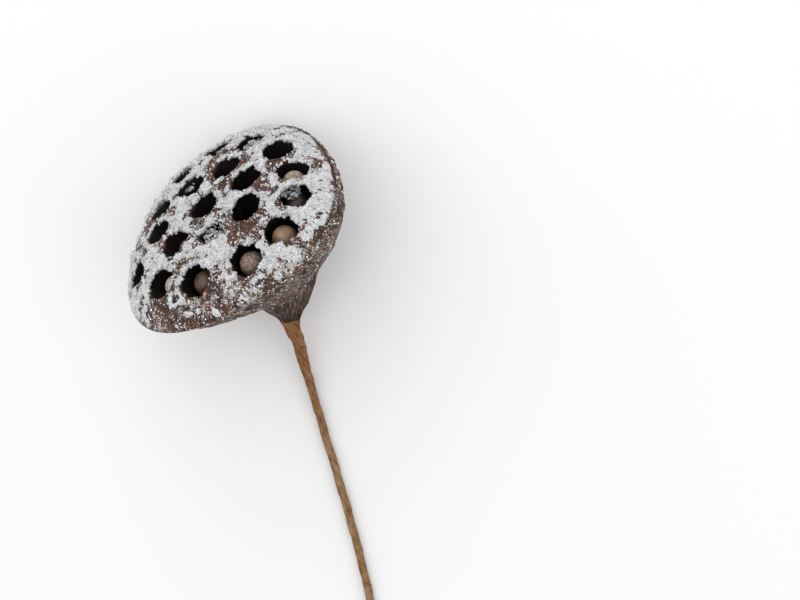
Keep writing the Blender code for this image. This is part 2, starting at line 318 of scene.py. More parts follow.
# A smooth curve through the route, whose knots are spaced by the root of the distance between them.
def stemLine():
    inward = podFrame.inverted()
    lead = [axisPoint(np.array(depth)) for depth in (0.86, 0.93, 1.0)]
    knots = lead + [np.array(inward @ Vector(point)) for point in stemShape["route"]]
    knots.append(2 * knots[-1] - knots[-2])
    runs = []
    parts = np.arange(12)[:, None] / 12
    for before, start, end, after in zip(knots[1:], knots[2:], knots[3:], knots[4:]):
        steps = [0.0]
        for first, second in ((before, start), (start, end), (end, after)):
            steps.append(steps[-1] + math.sqrt(np.linalg.norm(second - first)))
        t = steps[1] + parts * (steps[2] - steps[1])
        level = [before, start, end, after]
        for order in (1, 2):
            level = [
                (level[k] * (steps[k + order] - t) + level[k + 1] * (t - steps[k])) / (steps[k + order] - steps[k])
                for k in range(len(level) - 1)
            ]
        runs.append((level[0] * (steps[2] - t) + level[1] * (t - steps[1])) / (steps[2] - steps[1]))
    points = np.concatenate(runs + [knots[-2][None]])
    run = np.concatenate([[0], np.cumsum(np.linalg.norm(np.diff(points, axis=0), axis=1))])
    return points, unit(np.gradient(points, run, axis=0)), run


linePoints, lineSlopes, lineRun = stemLine()
stemLength = lineRun[-1]


# The stem's middle line and its direction at a length from the neck
def lineAt(length):
    point = np.stack([np.interp(length, lineRun, linePoints[:, k]) for k in range(3)], axis=-1)
    slope = np.stack([np.interp(length, lineRun, lineSlopes[:, k]) for k in range(3)], axis=-1)
    return point, unit(slope)


# Rings across that line, of a radius at each corner's angle
def ringOnLine(length, radius, corner):
    centre, slope = lineAt(np.asarray(length))
    flat = aroundZ(radius, corner)
    return centre + turnFromDown(flat, np.broadcast_to(slope, flat.shape))


# The tape's outer radius: wrapRadius, plus neckExtra * exp(-length / taper)
def wrapOutside(length):
    return stemShape["wrapRadius"] + stemShape["neckExtra"] * np.exp(-length / stemShape["taper"])


# The flank: rings of the outline times flankRadius, ribbed, turned towards the stem as they near the neck, with
# fine lengthwise fibres, low dents and ridged creases added to the radius.
def flankAt(depth, bearing):
    roundNeck = np.clip((depth - flankShape["roundFrom"]) / (1 - flankShape["roundFrom"]), 0, 1)
    shape = 1 + (outline(bearing, 1.0) - 1) * (1 - roundNeck)
    flow = aroundZ(1.0, bearing, depth * flankShape["grainLength"])
    fade = smoothStep(0.01, 0.12, depth)
    height, squeeze, cell, seed = flankShape["dent"]
    dents = height * noiseAt(flow * (1, 1, squeeze), cell, seed)
    fibres = flankShape["fibreHeight"] * layered(flow, flankShape["fibres"])
    creases = 0.5
    for height, squeeze, cell, seed in flankShape["creases"]:
        creases = creases - height * np.abs(noiseAt(flow * (1, 1, squeeze), cell, seed))
    radius = rimRadius * flankRadius(depth) * shape * (1 + ribsAt(bearing, depth))
    radius = radius + fade * (1 - 0.5 * roundNeck) * (fibres + dents) + flankShape["creaseHeight"] * fade * creases
    turned = (roundNeck**2)[..., None]
    slope = unit((1 - turned) * np.array([0, 0, -1.0]) + turned * lineAt(np.array(0.0))[1])
    lowered = depth + podShape["rimRound"] * np.clip(1 - depth / 0.12, 0, 1) ** 2
    return axisPoint(lowered + 0 * bearing) + turnFromDown(aroundZ(radius, bearing), slope)


# Squares to a disc: the larger of the two coordinates is the distance, the smaller one over it the angle.
def discGrid(count):
    line = np.linspace(-1, 1, count + 1)
    a, b = np.meshgrid(line, line, indexing="ij")
    wide = np.abs(a) > np.abs(b)
    distance = np.where(wide, a, b)
    safe = np.where(distance == 0, 1, distance)
    angle = np.where(wide, math.pi / 4 * b / safe, math.pi / 2 - math.pi / 4 * a / safe)
    bearing = np.where(distance < 0, angle + math.pi, angle)
    return np.abs(distance), bearing


# The numbers of a grid's points, in rows
def gridNumbers(count):
    return np.arange((count + 1) ** 2).reshape(count + 1, count + 1)


# Two triangles for each of its squares
def gridFaces(count):
    number = gridNumbers(count)
    a, b, c, d = number[:-1, :-1], number[1:, :-1], number[1:, 1:], number[:-1, 1:]
    return np.concatenate([
        np.stack([a, b, c], axis=-1).reshape(-1, 3),
        np.stack([a, c, d], axis=-1).reshape(-1, 3),
    ])


# The numbers of its outer points, in order of bearing
def gridEdge(count):
    number = gridNumbers(count)
    return np.concatenate([number[-1, :-1], number[:0:-1, -1], number[0, :0:-1], number[:-1, 0]])


# Triangles between two closed rings of the same count, or where the second has half as many points.
def ringFaces(first, second):
    nextFirst, nextSecond = np.roll(first, -1), np.roll(second, -1)
    if len(first) == len(second):
        return np.concatenate([
            np.stack([first, second, nextSecond], axis=-1),
            np.stack([first, nextSecond, nextFirst], axis=-1),
        ])
    even, odd, following = first[0::2], first[1::2], np.roll(first[0::2], -1)
    return np.concatenate([
        np.stack([even, second, odd], axis=-1),
        np.stack([odd, second, nextSecond], axis=-1),
        np.stack([odd, nextSecond, following], axis=-1),
    ])


# Closed rings of points, each joined to the one before: the triangles, and the numbers of the last ring
def chainFaces(rings, ring, start):
    faces = []
    for points in rings:
        following = np.arange(start, start + len(points))
        faces.append(ringFaces(ring, following))
        ring, start = following, start + len(points)
    return faces, ring


# Triangles from a ring to one tip
def fanFaces(ring, tip):
    return np.stack([ring, np.full(len(ring), tip), np.roll(ring, -1)], axis=-1)


# Values for a mesh's first points, and zeros up to its count of points
def padded(parts, count):
    values = np.concatenate(parts)
    return np.concatenate([values, np.zeros((count - len(values),) + values.shape[1:])])


# A mesh object from arrays, with its finish, its values for each point, and its place in the frame's tree
def makePiece(name, points, faces, finish, values=None):
    mesh = bpy.data.meshes.new(name)
    mesh.vertices.add(len(points))
    mesh.vertices.foreach_set("co", np.ascontiguousarray(points, dtype=np.float32).ravel())
    mesh.loops.add(len(faces) * 3)
    mesh.loops.foreach_set("vertex_index", np.ascontiguousarray(faces, dtype=np.int32).ravel())
    mesh.polygons.add(len(faces))
    mesh.polygons.foreach_set("loop_start", np.arange(0, len(faces) * 3, 3, dtype=np.int32))
    mesh.update(calc_edges=True)
    mesh.validate()
    for label, numbers in (values or {}).items():
        kind, field = ("FLOAT_VECTOR", "vector") if numbers.ndim == 2 else ("FLOAT", "value")
        mesh.attributes.new(label, kind, "POINT").data.foreach_set(field, numbers.astype(np.float32).ravel())
    mesh.shade_smooth()
    mesh.materials.append(finish)
    piece = bpy.data.objects.new(name, mesh)
    bpy.context.scene.collection.objects.link(piece)
    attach(piece, "root")
    return piece


# A socket in plain expressions: each operator adds its Math node.
class Wire:
    def __init__(self, recipe, socket):
        self.recipe, self.socket = recipe, socket

    def maths(self, operation, first, second):
        return self.recipe.add("ShaderNodeMath", {"operation": operation}, {0: first, 1: second})

    def __add__(self, other):
        return self.maths("ADD", self, other)

    __radd__ = __add__

    def __sub__(self, other):
        return self.maths("SUBTRACT", self, other)

    def __rsub__(self, other):
        return self.maths("SUBTRACT", other, self)

    def __mul__(self, other):
        return self.maths("MULTIPLY", self, other)

    __rmul__ = __mul__


# A material: plain values go straight on the shader's sockets, and add() puts in any other node.
class Recipe:
    def __init__(self, name, plain):
        self.material = bpy.data.materials.new(name)
        self.material.use_nodes = True
        self.tree = self.material.node_tree
        self.shader = self.tree.nodes["Principled BSDF"]
        self.put(self.shader, plain)

    def put(self, node, inputs):
        for key, value in inputs.items():
            if isinstance(value, Wire):
                self.tree.links.new(value.socket, node.inputs[key])
            elif isinstance(value, tuple) and len(value) == 3 and node.inputs[key].type == "RGBA":
                node.inputs[key].default_value = (*value, 1.0)
            else:
                node.inputs[key].default_value = value

    def add(self, kind, settings=None, inputs=None, out=0):
        node = self.tree.nodes.new(kind)
        for key, value in (settings or {}).items():
            if key == "stops":
                ramp = node.color_ramp
                while len(ramp.elements) < len(value):
                    ramp.elements.new(0.5)
                for element, (place, colour) in zip(ramp.elements, value):
                    element.position, element.color = place, (*colour, 1.0)
            else:
                setattr(node, key, value)
        self.put(node, inputs or {})
        return Wire(self, node.outputs[out])

    def place(self):
        return self.add("ShaderNodeTexCoord", out="Object")

    def attribute(self, label, out="Fac"):
        return self.add("ShaderNodeAttribute", {"attribute_name": label}, out=out)

    # Noise of the given size of feature, in the units of its coordinates
    def noise(self, vector, size, detail=2.0, rough=0.5):
        inputs = {"Vector": vector, "Scale": 1 / size, "Detail": detail, "Roughness": rough}
        return self.add("ShaderNodeTexNoise", {}, inputs)

    # Distance to the nearest of scattered points, which lie about the given size apart
    def cells(self, vector, size):
        return self.add("ShaderNodeTexVoronoi", {}, {"Vector": vector, "Scale": 1 / size})

    def stretch(self, vector, scale):
        return self.add("ShaderNodeMapping", {}, {"Vector": vector, "Scale": scale})

    def step(self, value, low, high):
        inputs = {"Value": value, "From Min": low, "From Max": high}
        return self.add("ShaderNodeMapRange", {"interpolation_type": "SMOOTHSTEP"}, inputs)

    def blend(self, factor, first, second):
        return self.add("ShaderNodeMix", {"data_type": "RGBA"}, {0: factor, 6: first, 7: second}, out=2)

    def bumped(self, height, distance):
        return self.add("ShaderNodeBump", {}, {"Height": height, "Distance": distance})

    def finish(self, inputs):
        self.put(self.shader, inputs)
        return self.material


# Dried tissue: near-black brown with redder patches, lengthwise fibres with a painted highlight on their crests,
# painted light on the flank's fold ridges and painted shade in its grooves, chambers darkened partly as dark inner
# tissue and partly as painted shade, and fine white frost on top.
podFinish = {
    "darkBrown": (0.026, 0.013, 0.009),
    "redBrown": (0.124, 0.046, 0.027),
    # pale brown: a painted highlight on the flank's fold ridges, and the colour of the paler band at the rim
    "paleBrown": (0.210, 0.120, 0.075),
    # painted highlight on the crests of the flank's fibres
    "crest": (0.330, 0.230, 0.180),
    "smear": (0.400, 0.330, 0.300),
    # near black for the chambers' depths: partly the dark inner tissue, partly painted shade
    "cave": (0.007, 0.005, 0.004),
    "frosts": ((0.34, 0.28, 0.24), (0.70, 0.68, 0.66)),
}


def podMaterial():
    make = Recipe("dried_pod_tissue", {"IOR": 1.45, "Specular IOR Level": 0.30})
    place = make.place()
    flow = make.attribute("flow", "Vector")
    patches = make.step(make.noise(place, 0.0032, 4, 0.65), 0.40, 0.66)
    fibres = make.noise(make.stretch(flow, (1.0, 1.0, 0.30)), 0.017, 3, 0.65)
    tissue = make.blend(patches, podFinish["darkBrown"], podFinish["redBrown"])
    onFlank = make.attribute("fibre")
    folds = make.noise(make.stretch(flow, (1.0, 1.0, 0.50)), 0.060, 4, 0.7)
    # painted highlight: fold ridges, raised by the same folds noise in the bump, turn pale brown
    tissue = make.blend(make.step(folds, 0.52, 0.60) * 0.70 * onFlank, tissue, podFinish["paleBrown"])
    # painted highlight: fibre crests, raised by the same fibres noise in the bump, turn pale
    tissue = make.blend(make.step(fibres, 0.54, 0.64) * 0.65 * onFlank, tissue, podFinish["crest"])
    # painted shade: fold grooves, lowered by the same folds noise in the bump, turn near-black brown
    tissue = make.blend((1 - make.step(folds, 0.44, 0.53)) * 0.92 * onFlank, tissue, podFinish["darkBrown"])
    smears = make.noise(make.stretch(flow, (1.0, 1.0, 0.55)), 0.040, 4, 0.75)
    tissue = make.blend(make.step(smears, 0.54, 0.63) * 0.60 * onFlank, tissue, podFinish["smear"])
    tissue = make.blend(make.attribute("edge") * 0.60, tissue, podFinish["paleBrown"])
    cave = make.attribute("cave")
    # near black inside the chambers by their depth: partly the dark inner tissue, partly painted shade
    tissue = make.blend(make.step(cave, 0.03, 0.30), tissue, podFinish["cave"])
    grain = make.noise(place, 0.00060, 2, 0.7)
    clumps = make.noise(place, 0.0018, 2, 0.6)
    cover = make.attribute("frost")
    strands = make.noise(make.stretch(flow, (1.0, 1.0, 0.40)), 0.018, 2, 0.6)
    speckle = grain * 0.40 + clumps * 0.30 + strands * 0.30 + cover * 0.26
    frost = make.step(speckle, 0.650, 0.685) * (1 - make.step(cave, 0.0, 0.08))
    wrinkles = make.noise(place, 0.0011, 3, 0.6)
    height = (fibres * 0.9 + folds * 3.0) * onFlank + wrinkles * 0.5 + frost * 0.55
    return make.finish({
        "Base Color": make.blend(frost * 0.85, tissue, make.blend(make.noise(place, 0.0009, 1), *podFinish["frosts"])),
        "Roughness": 0.62 + frost * 0.25,
        "Normal": make.bumped(height, 0.00045),
    })


# Flock snow: white, with painted shade darker in its hollows, soiled in places, with pinholes down to the tissue, and
# grey painted shade on the heaps that lie in shade. Grains and flakes each run between two tones.
snowTones = {
    # painted shade in the snow's hollows; top is the snow's own white
    "hollowShade": (0.36, 0.37, 0.39),
    "top": (0.80, 0.81, 0.83),
    "soil": (0.40, 0.36, 0.32),
    "shade": (0.12, 0.13, 0.15),
    "grains": ((0.42, 0.43, 0.45), (0.86, 0.87, 0.88)),
    # darker, browner tones for the grains on the flank
    "flankGrainTones": ((0.22, 0.17, 0.14), (0.74, 0.71, 0.68)),
    "flakes": ((0.86, 0.87, 0.90), (0.99, 0.98, 0.96)),
}


def snowMaterial():
    make = Recipe("flock_snow", {"IOR": 1.31, "Roughness": 0.85})
    place = make.place()
    grain = make.noise(place, 0.00050, 3, 0.7)
    cells = make.cells(place, 0.00060)
    # painted shade: darker where the grain that the bump also lowers is low
    hollowShade = make.step(make.noise(place, 0.0013, 2, 0.6) * 0.6 + grain * 0.4, 0.34, 0.52)
    tone = make.blend(hollowShade, snowTones["hollowShade"], snowTones["top"])
    pinholes = make.step(make.noise(place, 0.00085, 3, 0.6), 0.325, 0.370)
    soiled = make.step(make.noise(place, 0.0026, 4, 0.75), 0.50, 0.64)
    tone = make.blend(soiled * 0.60, tone, snowTones["soil"])
    # painted shade: lumps of the heaps deep in the chambers turn grey by their shade value
    tone = make.blend(make.attribute("shade"), tone, snowTones["shade"])
    return make.finish({
        "Base Color": make.blend(pinholes, podFinish["redBrown"], tone),
        "Normal": make.bumped(grain - cells * 0.5, 0.00045),
    })


def grainMaterial(name, dull, bright):
    make = Recipe(name, {"IOR": 1.31, "Roughness": 0.55})
    tone = make.step(make.noise(make.place(), 0.0012, 2, 0.7), 0.36, 0.64)
    return make.finish({"Base Color": make.blend(tone, dull, bright)})


def glitterMaterial():
    make = Recipe("glitter_flakes", {"Metallic": 1.0, "Roughness": 0.16})
    tone = make.noise(make.place(), 0.0012, 0)
    return make.finish({"Base Color": make.blend(tone, *snowTones["flakes"])})


# Seed coat: blotched between two browns, with a fine grain and a dusting of frost
def seedMaterial(name, light, dark):
    make = Recipe(name, {"IOR": 1.5})
    place = make.place()
    blotch = make.step(make.noise(place, 0.0030, 3), 0.35, 0.70)
    grain = make.noise(place, 0.00045, 2, 0.7)
    dust = make.step(grain + make.attribute("dust") * 0.42, 0.70, 0.76)
    coat = make.blend(blotch, light, dark)
    return make.finish({
        "Base Color": make.blend(dust, coat, podFinish["frosts"][1]),
        "Roughness": 0.38 + dust * 0.4,
        "Normal": make.bumped(make.noise(place, 0.0007, 2) * 0.4 + dust, 0.00010),
    })


# Paper tape: ochre to tan crepe, streaked nearly along the stem, with a dark broken line where one turn overlaps
# the next, and more orange near the neck.
tapeFinish = {
    "orange": (0.270, 0.105, 0.036),
    "ochre": (0.250, 0.128, 0.042),
    "tan": (0.370, 0.235, 0.130),
    "russet": (0.095, 0.034, 0.014),
    "grey": (0.260, 0.190, 0.135),
}


def tapeMaterial():
    make = Recipe("paper_tape_crepe", {"IOR": 1.45, "Specular IOR Level": 0.25})
    place = make.place()
    flow = make.attribute("flow", "Vector")
    long = make.stretch(flow, (1.0, 1.0, 0.80))
    streaks = make.noise(long, 0.32, 4, 0.75)
    broad = make.noise(place, 0.0035, 3, 0.7)
    seam = make.attribute("seam") * make.step(make.noise(place, 0.0022, 2), 0.38, 0.62)
    warm = make.blend(make.step(broad, 0.40, 0.60), tapeFinish["orange"], tapeFinish["ochre"])
    plain = make.blend(make.step(broad, 0.36, 0.64), tapeFinish["ochre"], tapeFinish["tan"])
    tone = make.blend(make.attribute("far"), warm, plain)
    tone = make.blend(make.step(streaks, 0.50, 0.60) * 0.85, tone, tapeFinish["russet"])
    tone = make.blend((1 - make.step(streaks, 0.38, 0.46)) * 0.75, tone, tapeFinish["grey"])
    tone = make.blend(make.step(seam, 0.2, 0.95) * 0.70, tone, tapeFinish["russet"])
    height = streaks * 0.8 + make.noise(place, 0.0006, 2) * 0.3
    return make.finish({
        "Base Color": tone,
        "Roughness": 0.72 + streaks * 0.15,
        "Normal": make.bumped(height, 0.00030),
    })


# Drawn steel: fine lines along the wire
def wireMaterial():
    make = Recipe("drawn_steel", {"Metallic": 1.0})
    place = make.stretch(make.place(), (1.0, 0.08, 1.0))
    lines = make.noise(place, 0.00012, 2)
    return make.finish({
        "Base Color": make.blend(lines, (0.30, 0.29, 0.28), (0.42, 0.41, 0.40)),
        "Roughness": 0.30 + lines * 0.25,
    })


tissueFinish = podMaterial()
snowFinish = snowMaterial()
grainFinish = grainMaterial("flock_grains", *snowTones["grains"])
# the grains on the flank run between darker, browner tones than those on the face
flankGrainFinish = grainMaterial("flock_grains_flank", *snowTones["flankGrainTones"])
glitterFinish = glitterMaterial()
tapePaper = tapeMaterial()
print("finishes made")


# How much frost lies on the flank and on the face, from 0 to 1: a level, what is lost by the neck or gained on
# one part, and noise as (height, cell, seed)
frostShape = {
    "flank": 0.30,
    "neckLoss": 0.34,
    "upperGain": 0.10,
    "flankNoise": (0.24, 0.007, 31),
    "face": 0.37,
    "outerGain": 0.10,
    "lowEdgeGain": 0.10,
    "faceNoise": (0.3, 0.006, 32),
}


# Most at the rim and on the side that looks up as the pod lies, little at the neck
def flankFrost(points, depth, bearing):
    upper = -np.cos(bearing - math.pi / 2)
    cover = frostShape["flank"] - frostShape["neckLoss"] * depth + frostShape["upperGain"] * upper
    return np.clip(layered(points, [frostShape["flankNoise"]], cover), 0, 1)


# More in the outer band, and most where that is lowest in the picture
def faceFrost(points, distance, bearing):
    cover = layered(points, [frostShape["faceNoise"]], frostShape["face"])
    cover = cover + frostShape["outerGain"] * smoothStep(0.72, 0.92, distance)
    return np.clip(cover + frostShape["lowEdgeGain"] * lowEdge(distance, bearing), 0, 1)


# Patches of the face, chosen one by one: distance, bearing, reach in metres, and how bare, or how snowy below zero
facePatches = (
    (0.34, -78, 0.0050, 1.0), (0.45, -20, 0.0035, 0.7), (0.47, 40, 0.0030, 0.4), (0.18, 30, 0.0038, 0.8),
    (0.20, 172, 0.0034, 0.6), (0.52, -178, 0.0034, 0.6), (0.50, -140, 0.0038, 0.6), (0.60, -72, 0.0048, 1.1),
    (0.62, 3, 0.0034, 0.8), (0.82, -113, 0.0050, 0.4), (0.97, -100, 0.0045, 0.3), (0.94, -146, 0.0035, 0.3),
    (0.24, 120, 0.0030, 0.4), (0.40, 84, 0.0030, 0.4), (0.99, -72, 0.0024, 0.8), (0.99, -60, 0.0022, 0.8),
    (0.99, -84, 0.0024, 0.6), (0.86, -92, 0.0024, 0.8), (0.94, -105, 0.0034, 0.6), (0.97, -122, 0.0040, 0.5),
    (0.80, -146, 0.0026, 0.5), (0.95, -150, 0.0036, 0.5), (0.92, -35, 0.0060, -0.7), (0.90, -55, 0.0048, -0.7),
    (0.86, -71, 0.0044, -0.8), (0.86, -64, 0.0030, -0.7), (0.90, -14, 0.0050, -0.6), (0.87, -159, 0.0045, -0.3),
    (0.54, -106, 0.0040, -0.5), (0.91, 27, 0.0046, -0.7), (0.91, 8, 0.0044, -0.6), (0.88, 48, 0.0040, -0.5),
    (0.86, 70, 0.0040, -0.5), (0.84, 92, 0.0036, -0.5), (0.59, 90, 0.0034, -0.5),
)

# The snow on the face. Amounts are shares of its thickness, lengths are metres, noise is (height, cell, seed).
snowShape = {
    "thickness": 0.00078,
    "least": -0.6,
    "most": 1.3,
    "bias": 0.10,
    "clumps": ((0.45, 0.0062, 41), (0.80, 0.0029, 42)),
    "crumbs": ((0.65, 0.0014, 43), (0.35, 0.0006, 44)),
    "patchDepth": 0.9,
    "lowRimLoss": 0.4,
    "rimLoss": 0.6,
    "browHeight": 0.9,
    "browNoise": (0.8, 0.0016, 45),
    "lipLoss": 0.25,
    "lowEdgeGain": 0.32,
    "caveLimit": 0.12,
    "shelf": 0.0016,
    "shelfShare": 0.65,
    "shelfNoise": (0.8, 0.0017, 46),
    # a stretch of one lip where the shelf reaches over the mouth on the near side too: distance, bearing, reach
    "nearShelf": (0.86, -64, 0.0034),
    "squaresAcross": 236,
    "reach": 0.992,
    "coneDepth": 0.75,
}


# 1 on the rim where it is lowest in the picture, and scattered grains lie on brown tissue, and 0 elsewhere
def lowEdge(distance, bearing):
    return smoothStep(0.78, 0.90, distance) * smoothStep(0.2, 0.8, np.cos(bearing + math.radians(122)))


# Thickness of the snow on the face in metres, below zero where there is none: clumps and crumbs on a bias, less in
# the bare patches and towards the rim, most of all where it is lowest in the picture, with a brow on each lip's
# snowed side.
def snowThickness(points, distance, bearing, gap, toward, cave):
    spot = aroundZ(distance * rimRadius, bearing)[..., :2]
    amount = layered(points, snowShape["clumps"], snowShape["bias"])
    amount += layered(points, snowShape["crumbs"])
    for far, turn, reach, strength in facePatches:
        centre = np.array(onFace(far, turn))
        amount -= snowShape["patchDepth"] * strength * bump(np.linalg.norm(spot - centre, axis=-1), reach)
    lowRim = snowShape["lowRimLoss"] * smoothStep(0.75, 0.98, np.cos(bearing + math.radians(116)))
    amount -= lowRim * smoothStep(0.84, 0.95, distance) + snowShape["rimLoss"] * smoothStep(0.975, 1.0, distance)
    brow = snowedSide(toward) * layered(points, [snowShape["browNoise"]], snowShape["browHeight"])
    amount += bump(gap - 0.0002, 0.0008) * (brow - snowShape["lipLoss"])
    amount = np.maximum(amount, snowShape["least"] + snowShape["lowEdgeGain"] * lowEdge(distance, bearing))
    amount = np.where(cave > snowShape["caveLimit"], -1.0, amount)
    return snowShape["thickness"] * np.clip(amount, snowShape["least"], snowShape["most"])


# 1 on the side of a mouth where snow overhangs it, 0 on the other
def snowedSide(toward):
    snowed = math.radians(chamberShape["snowedSide"])
    return smoothStep(-0.2, 0.9, -toward @ np.array([math.cos(snowed), math.sin(snowed)]))


# Where the snow's surface lies: out along the normal, and over the mouth on each lip's snowed side
def snowTop(points, normals, thick, gap, toward):
    far, turn, reach = snowShape["nearShelf"]
    near = bump(np.linalg.norm(points[..., :2] - np.array(onFace(far, turn)), axis=-1), reach)
    side = np.maximum(snowedSide(toward), near)
    shelf = snowShape["shelf"] * bump(gap - 0.0003, 0.0009) * side * smoothStep(-0.0001, 0.0003, thick)
    shelf = shelf * np.clip(layered(points, [snowShape["shelfNoise"]], snowShape["shelfShare"]), 0, 1.2)
    sideways = np.concatenate([toward, 0 * toward[..., :1]], axis=-1)
    return points + normals * thick[..., None] + sideways * shelf[..., None]


# The outward direction at each point of a grid, across its two slopes
def gridNormals(points):
    across, along = np.gradient(points, axis=0), np.gradient(points, axis=1)
    return unit(np.cross(across, along))


# Depths of the flank's rings with their points' bearings, of which every second one is left in each new stretch
def flankRings(bearings):
    depths = podShape["flankDepths"]
    for part, steps in enumerate(podShape["flankSteps"]):
        if part:
            bearings = bearings[::2]
            run = np.linspace(depths[part], depths[part + 1], steps + 1)[1:]
        else:
            run = depths[1] * (np.arange(1, steps + 1) / steps) ** 1.5
        for depth in run:
            yield depth, bearings


# The pod: the face's grid, the flank's rings from its edge down to the neck, and the stub inside the tape
def makePod():
    count = podShape["squaresAcross"]
    distance, bearing = discGrid(count)
    face, _, _, cave = faceAt(distance, bearing)
    paleBrown = smoothStep(0.97, 0.995, distance) * smoothStep(0.6, 0.95, np.cos(bearing - math.radians(42)))
    edge = gridEdge(count)
    rings = []
    frosts = [faceFrost(face, distance, bearing).ravel()]
    flows = [aroundZ(1.0, bearing, -distance).reshape(-1, 3)]
    for depth, bearings in flankRings(bearing.ravel()[edge]):
        rings.append(flankAt(np.full(bearings.shape, depth), bearings))
        frosts.append(flankFrost(rings[-1], depth, bearings))
        flows.append(aroundZ(1.0, bearings, depth))
    for length in np.linspace(0, stemShape["stub"], 5):
        radius = wrapOutside(length) - stemShape["wall"] - stemShape["gap"]
        rings.append(ringOnLine(length, radius, bearings))
    faces, last = chainFaces(rings, edge, cave.size)
    points = toWorld(np.concatenate([face.reshape(-1, 3)] + rings + [lineAt(np.array(stemShape["stub"]))[0][None]]))
    faces = np.concatenate([gridFaces(count)] + faces + [fanFaces(last, len(points) - 1)])
    points[:, 2] = np.maximum(points[:, 2], 0)
    values = {
        "cave": padded([cave.ravel()], len(points)),
        "fibre": np.where(np.arange(len(points)) < cave.size, 0.25, 1.0),
        "frost": padded(frosts, len(points)),
        "edge": padded([paleBrown.ravel()], len(points)),
        "flow": padded(flows, len(points)),
    }
    pod = makePiece("pod_shell", points, faces, tissueFinish, values)
    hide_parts("pod")
    print("pod made:", len(pod.data.polygons), "triangles")


# The snow crust: the face carried out along its normal by the snow's thickness, closed by a cone deep in the pod
def makeCrust():
    count = snowShape["squaresAcross"]
    distance, bearing = discGrid(count)
    distance = distance * snowShape["reach"]
    face, gap, toward, cave = faceAt(distance, bearing)
    thick = snowThickness(face, distance, bearing, gap, toward, cave)
    crust = snowTop(face, gridNormals(face), thick, gap, toward).reshape(-1, 3)
    points = toWorld(np.concatenate([crust, [[0, 0, -snowShape["coneDepth"] * rimRadius]]]))
    faces = np.concatenate([gridFaces(count), fanFaces(gridEdge(count), len(points) - 1)])
    makePiece("snow_crust", points, faces, snowFinish)
    print("snow crust made:", len(faces), "triangles")


# One seed: an egg of radius sin(turn)^0.85 and height cos(turn), with a small blunt tip at its upper end.
seedShape = {
    "radius": 0.0041,
    "length": 0.0102,
    "tip": 0.00035,
    "tipRadius": 0.0007,
    "lean": 0.0003,
    "gap": 0.00025,
    "sunk": (0.0018, 0.0030),
    "rings": 26,
    "sides": 40,
    "empty": (1, 2, 3, 6, 7, 8),
    # frost on each seed that carries more or less than the usual
    "usualDust": 0.3,
    "dust": {11: 0.05, 12: 0.34, 13: 0.16, 14: 0.62, 9: 0.45, 10: 0.05, 20: 0.60, 4: 0.60},
    # seed 10's dark coat is painted shade: near black, so that the seed reads as its chamber's shade
    "coats": {11: "tan", 9: "tan", 12: "dull", 13: "umber", 10: "dark"},
    "tones": {
        "tan": ((0.33, 0.215, 0.135), (0.23, 0.140, 0.082)),
        "dull": ((0.26, 0.165, 0.110), (0.15, 0.090, 0.058)),
        "brown": ((0.170, 0.095, 0.060), (0.080, 0.042, 0.028)),
        "umber": ((0.125, 0.062, 0.042), (0.060, 0.030, 0.021)),
        # dark: painted shade, near black, used only by seed 10
        "dark": ((0.030, 0.019, 0.014), (0.016, 0.010, 0.008)),
    },
}


# The egg's points, with its mouth end at the origin, and its triangles
def seedMesh():
    turn = np.linspace(0, math.pi, seedShape["rings"] + 2)[1:-1]
    corner = np.arange(seedShape["sides"]) * 2 * math.pi / seedShape["sides"]
    turnGrid, cornerGrid = np.meshgrid(turn, corner, indexing="ij")
    radius = seedShape["radius"] * np.sin(turnGrid) ** 0.85
    height = seedShape["length"] / 2 * (np.cos(turnGrid) - 1)
    tip = seedShape["tip"] * bump(radius, seedShape["tipRadius"]) * (turnGrid < 1.5)
    egg = aroundZ(radius, cornerGrid, height + tip).reshape(-1, 3)
    egg = np.concatenate([egg, [[0, 0, seedShape["tip"]], [0, 0, -seedShape["length"]]]])
    numbers = np.arange(seedShape["rings"] * seedShape["sides"]).reshape(seedShape["rings"], seedShape["sides"])
    faces = [ringFaces(first, second) for first, second in zip(numbers, numbers[1:])]
    faces += [fanFaces(numbers[0], len(egg) - 2)[:, ::-1], fanFaces(numbers[-1], len(egg) - 1)]
    return egg, np.concatenate(faces)


# Each seed fills its chamber's room but for the gap and a small lean, and lies a little under the mouth.
def makeSeeds():
    finishes = {coat: seedMaterial(f"seed_coat_{coat}", *tones) for coat, tones in seedShape["tones"].items()}
    draws = random.Random(19)
    egg, faces = seedMesh()
    for number, (_, _, mouth) in enumerate(chambers, 1):
        room = mouth * chamberShape["belly"] * (1 - chamberShape["mostOval"])
        room = room * math.cos(math.pi / chamberShape["sides"]) - seedShape["gap"] - seedShape["lean"]
        sunk = draws.uniform(*seedShape["sunk"])
        if number in seedShape["empty"]:
            continue
        place = podFrame @ mouthFrames[number - 1] @ Matrix.Translation((0, -seedShape["lean"], -sunk))
        place = np.array(place @ Matrix.Scale(room / seedShape["radius"], 4))
        points = egg @ place[:3, :3].T + place[:3, 3]
        dust = np.full(len(points), seedShape["dust"].get(number, seedShape["usualDust"]))
        finish = finishes[seedShape["coats"].get(number, "brown")]
        seed = makePiece(f"lotus_seed_{number:02d}", points, faces, finish, {"dust": dust})
        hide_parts(f"seed_{number:02d}")
    print("seeds made")


